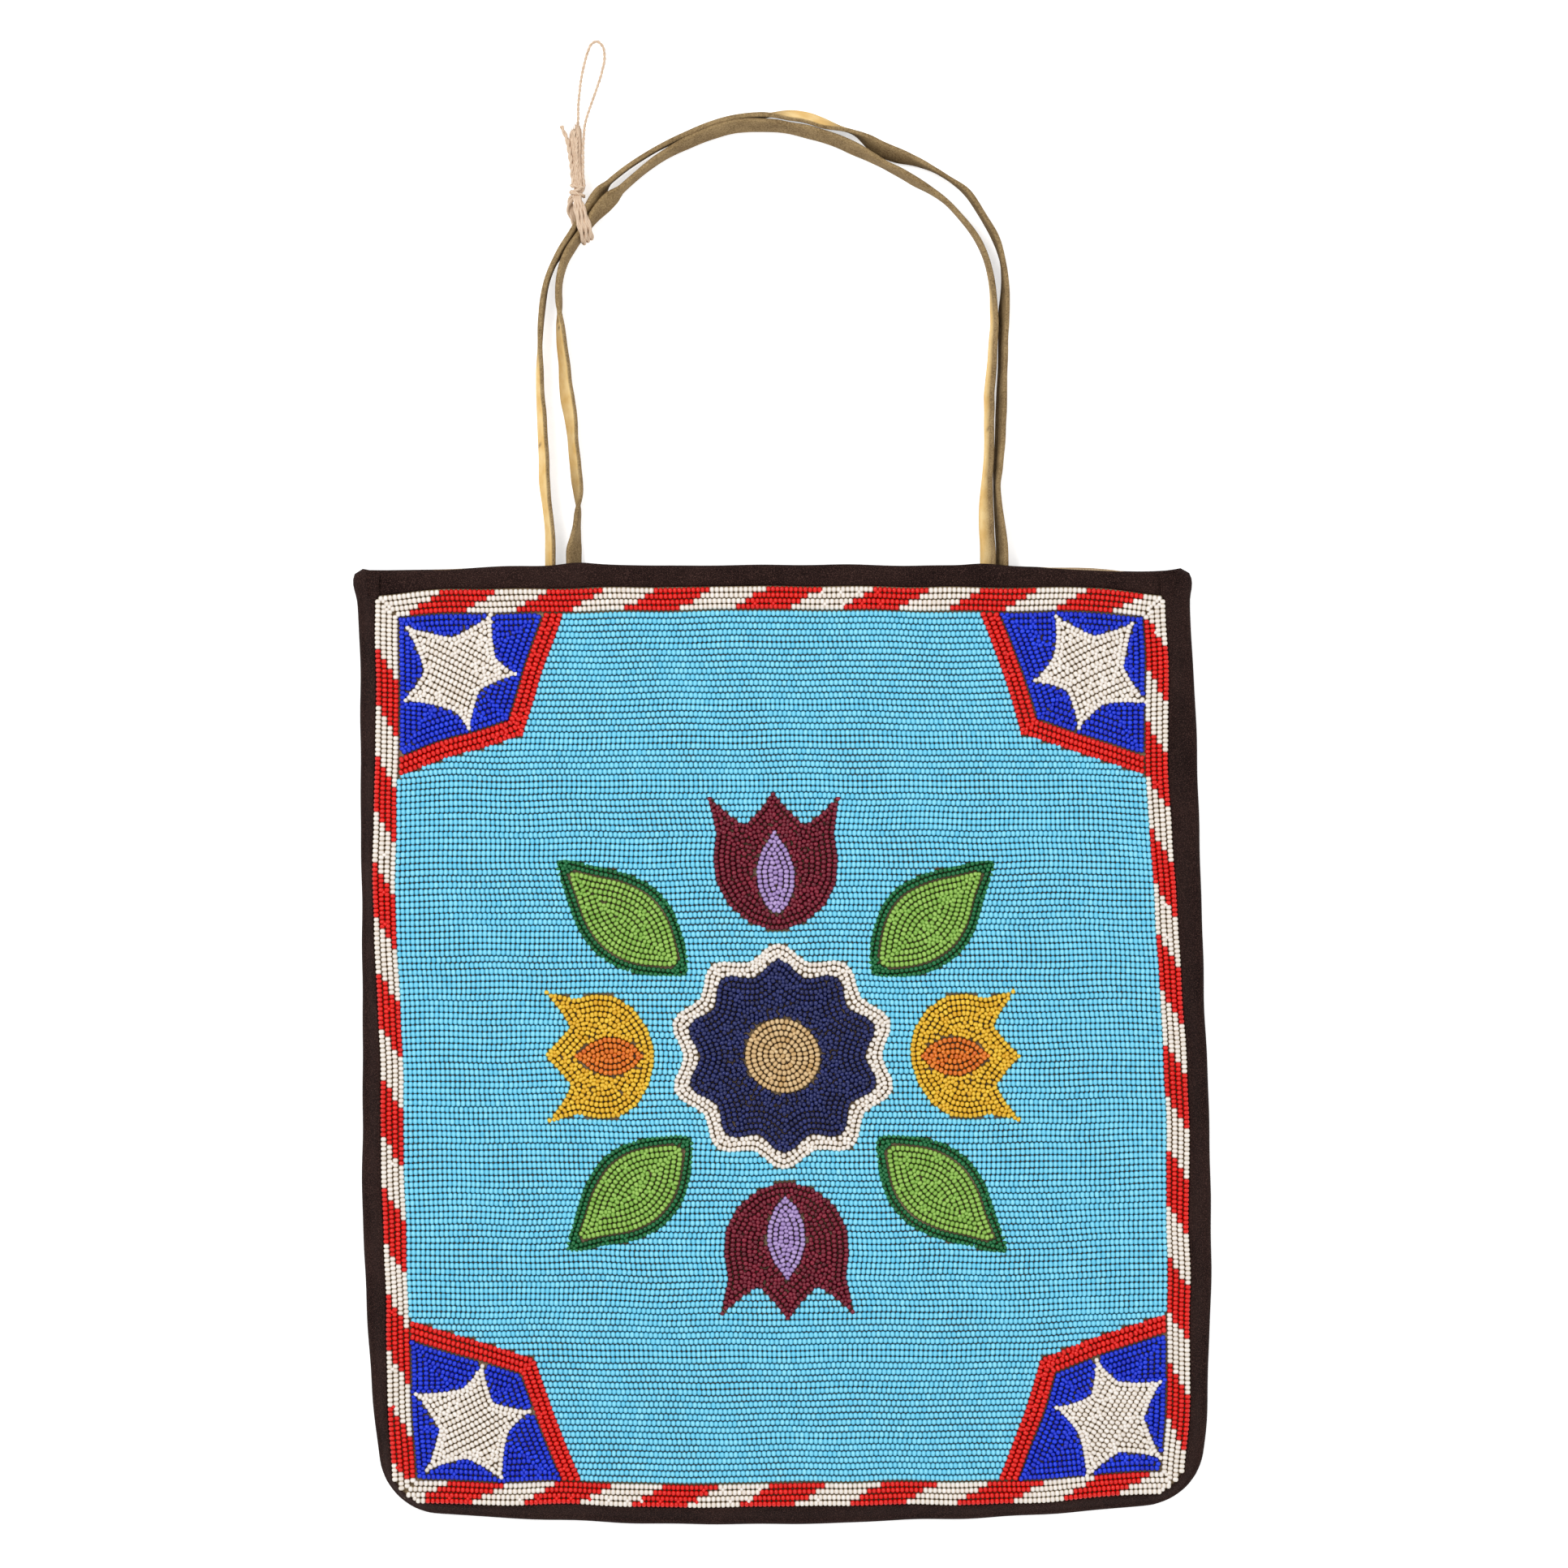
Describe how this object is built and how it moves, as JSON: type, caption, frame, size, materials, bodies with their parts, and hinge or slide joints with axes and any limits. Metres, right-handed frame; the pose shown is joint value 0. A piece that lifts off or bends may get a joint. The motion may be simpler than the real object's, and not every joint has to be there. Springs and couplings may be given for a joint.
{
  "type": "beaded flat bag",
  "caption": "Flat cloth bag lying on its back: beaded front, bound edges, hemmed mouth, two leather handle straps tied together by a twine hang loop.",
  "frame": {"origin": "middle of the back face, on the surface that the bag lies on", "axes": "+Y towards the mouth and the handles, +Z out of the beaded face, +X to the right as that face is looked at"},
  "size_m": [0.287, 0.4993, 0.0112],
  "materials": {
    "broadcloth": "dark brown wool broadcloth, felted twill",
    "lining": "plain cotton lining",
    "canvas": "cotton canvas under the beads",
    "sky_blue_beads": "opaque sky blue seed beads",
    "red_beads": "opaque red seed beads",
    "cobalt_beads": "transparent cobalt seed beads",
    "white_beads": "white seed beads",
    "cream_beads": "cream seed beads",
    "navy_beads": "opaque navy seed beads",
    "burgundy_beads": "burgundy seed beads",
    "lavender_beads": "lavender seed beads",
    "yellow_beads": "yellow seed beads",
    "orange_beads": "orange seed beads",
    "light_green_beads": "light green seed beads",
    "dark_green_beads": "dark green seed beads",
    "buckskin": "brown suede thong",
    "hemp": "two-ply hemp twine"
  },
  "bodies": {
    "pouch": {"back_panel": "broadcloth", "edge_binding": "broadcloth", "top_hem_back": "broadcloth", "top_hem_front": "broadcloth", "back_lining": "lining", "front_lining": "lining", "front_canvas": "canvas", "border_top": "white_beads", "border_bottom": "white_beads", "border_left": "white_beads", "border_right": "white_beads", "star_ground_top_left": "cobalt_beads", "star_ground_top_right": "cobalt_beads", "star_ground_bottom_left": "cobalt_beads", "star_ground_bottom_right": "cobalt_beads", "star_top_left": "white_beads", "star_top_right": "white_beads", "star_bottom_left": "white_beads", "star_bottom_right": "white_beads", "corner_edging_top_left": "red_beads", "corner_edging_top_right": "red_beads", "corner_edging_bottom_left": "red_beads", "corner_edging_bottom_right": "red_beads", "rosette_centre": "cream_beads", "rosette_petals": "navy_beads", "rosette_rim": "white_beads", "tulip_cup_top": "burgundy_beads", "tulip_heart_top": "lavender_beads", "tulip_cup_bottom": "burgundy_beads", "tulip_heart_bottom": "lavender_beads", "tulip_cup_left": "yellow_beads", "tulip_heart_left": "orange_beads", "tulip_cup_right": "yellow_beads", "tulip_heart_right": "orange_beads", "leaf_top_left": "light_green_beads", "leaf_edge_top_left": "dark_green_beads", "leaf_top_right": "light_green_beads", "leaf_edge_top_right": "dark_green_beads", "leaf_bottom_left": "light_green_beads", "leaf_edge_bottom_left": "dark_green_beads", "leaf_bottom_right": "light_green_beads", "leaf_edge_bottom_right": "dark_green_beads", "sky_blue_field": "sky_blue_beads", "strap_end_front_left": "buckskin", "strap_end_front_right": "buckskin", "strap_end_back_left": "buckskin", "strap_end_back_right": "buckskin"},
    "front_root": {"strap_root_front_left": "buckskin", "strap_root_front_right": "buckskin"},
    "back_root": {"strap_root_back_left": "buckskin", "strap_root_back_right": "buckskin"},
    "front_handle": {"handle_strap_front": "buckskin", "twine_wrap": "hemp", "twine_knot": "hemp"},
    "back_handle": {"handle_strap_back": "buckskin"},
    "hang_loop": {"twine_shank": "hemp", "twine_tail": "hemp", "twine_loop": "hemp"}
  },
  "joints": [
    {"name": "front_root_bend", "type": "hinge", "parent": "pouch", "child": "front_root", "pos_m": [0, 0.1626, 0.0049], "axis": [1, 0, 0], "range_deg": [-85, 85]},
    {"name": "front_fold", "type": "hinge", "parent": "front_root", "child": "front_handle", "pos_m": [0, 0.1706, 0.0049], "axis": [1, 0, 0], "range_deg": [-85, 85]},
    {"name": "back_root_bend", "type": "hinge", "parent": "pouch", "child": "back_root", "pos_m": [0, 0.1626, 0.0049], "axis": [1, 0, 0], "range_deg": [-85, 85]},
    {"name": "back_fold", "type": "hinge", "parent": "back_root", "child": "back_handle", "pos_m": [0, 0.1706, 0.0049], "axis": [1, 0, 0], "range_deg": [-85, 85]},
    {"name": "loop_swing", "type": "hinge", "parent": "front_handle", "child": "hang_loop", "pos_m": [-0.06956, 0.29064, 0.00555], "axis": [0, 0, 1], "range_deg": [-45, 90]}
  ],
  "couplings": [
    {"joint": "front_fold", "follows": "front_root_bend", "ratio": 1},
    {"joint": "back_root_bend", "follows": "front_root_bend", "ratio": 1},
    {"joint": "back_fold", "follows": "front_root_bend", "ratio": 1}
  ]
}
